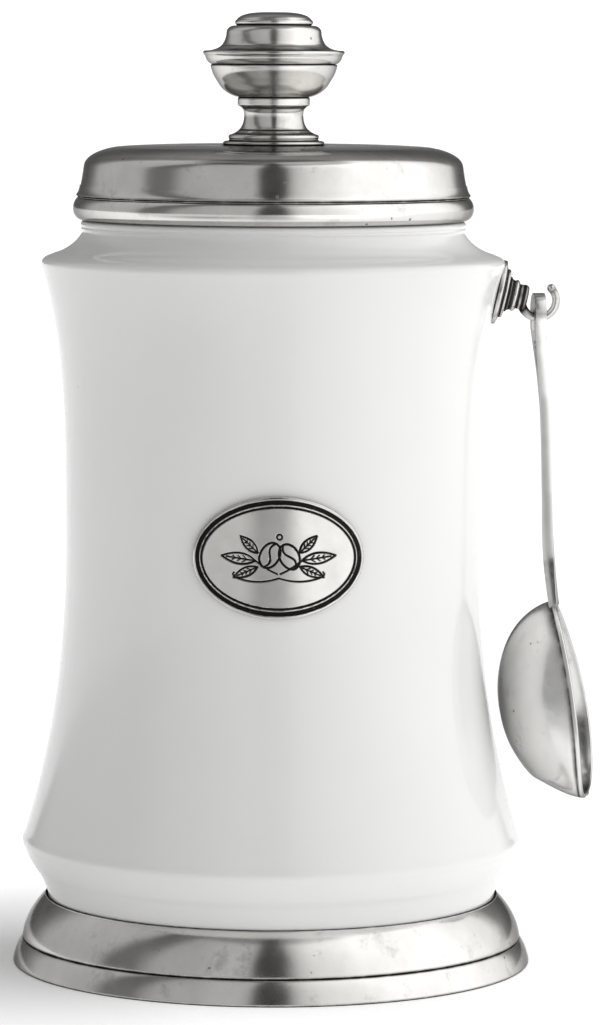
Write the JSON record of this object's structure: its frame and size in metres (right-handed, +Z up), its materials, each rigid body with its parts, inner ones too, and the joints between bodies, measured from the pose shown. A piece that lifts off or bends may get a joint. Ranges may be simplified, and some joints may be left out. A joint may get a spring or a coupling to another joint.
{
  "type": "lidded storage canister with spoon",
  "caption": "Waisted ceramic canister on a moulded pewter base, with a lift-off knobbed lid, an oval plaque and a scoop hanging from a side hook.",
  "frame": {"origin": "centre of the flat underside of the base, on the jar's axis", "axes": "+Z up along the jar's axis; the plaque faces -Y; the hook and spoon are on the +X side"},
  "size_m": [0.1729, 0.1532, 0.28],
  "materials": {
    "glaze": "glossy white glaze",
    "pewter_base": "polished pewter, dark in the creases",
    "pewter_lid": "polished pewter, dark in the creases",
    "pewter_knob": "polished pewter, dark in the creases",
    "pewter_plaque": "satin pewter, engraved and blackened",
    "pewter_hook": "pewter with heavy dark patina",
    "pewter_spoon": "polished pewter with fine pits",
    "hardware": "plain turned steel",
    "silicone": "translucent matt",
    "cement": "matt",
    "adhesive": "matt"
  },
  "bodies": {
    "canister": {"base_dish": "pewter_base", "base_moulding": "pewter_base", "base_cement": "cement", "jar": "glaze", "plaque": "pewter_plaque", "plaque_bond": "adhesive", "hook_rosette": "pewter_hook", "hook_boss": "pewter_hook", "hook_arm": "pewter_hook", "hook_stud": "hardware", "hook_washer": "hardware", "hook_nut": "hardware"},
    "lid": {"lid_dome": "pewter_lid", "lid_bead": "pewter_lid", "lid_collar": "pewter_lid", "lid_seal": "silicone", "knob_flange": "pewter_knob", "knob_neck": "pewter_knob", "knob_cup": "pewter_knob", "knob_cap": "pewter_knob", "knob_button": "pewter_knob", "knob_stud": "hardware", "knob_washer": "hardware", "knob_nut": "hardware"},
    "spoon": {"spoon_bowl": "pewter_spoon", "spoon_handle": "pewter_spoon"}
  },
  "joints": [
    {"name": "lid_lift", "type": "slide", "parent": "canister", "child": "lid", "axis": [0, 0, 1], "range_m": [0, 0.08]},
    {"name": "spoon_swing", "type": "hinge", "parent": "canister", "child": "spoon", "pos_m": [0.078, 0, 0.1909], "axis": [1, 0, 0], "range_deg": [-60, 60]}
  ]
}
